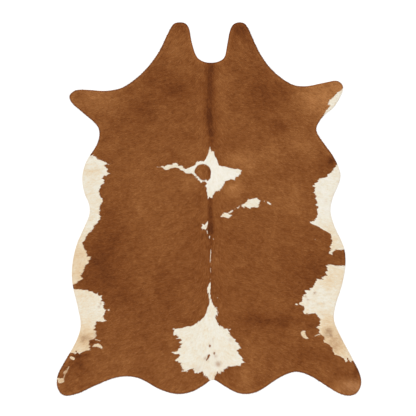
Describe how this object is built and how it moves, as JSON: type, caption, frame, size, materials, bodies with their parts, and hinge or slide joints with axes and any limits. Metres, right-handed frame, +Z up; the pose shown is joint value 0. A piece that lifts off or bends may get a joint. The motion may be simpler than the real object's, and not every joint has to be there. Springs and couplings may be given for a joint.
{
  "type": "cowhide rug",
  "caption": "Whole brown and white cowhide with the hair on, laid flat as a floor rug, with its natural neck, leg and tail outline.",
  "frame": {"origin": "on the floor, under the middle of the hide's bounding box", "axes": "+Y from the tail to the neck, +X to the right when the neck points away, +Z up out of the hair side"},
  "size_m": [1.7929, 2.2, 0.006],
  "materials": {
    "coat": "short glossy cow hair lying flat, chestnut brown with white patches",
    "skin": "pale sueded flesh side"
  },
  "bodies": {
    "root": {"hide": "coat"}
  },
  "joints": []
}
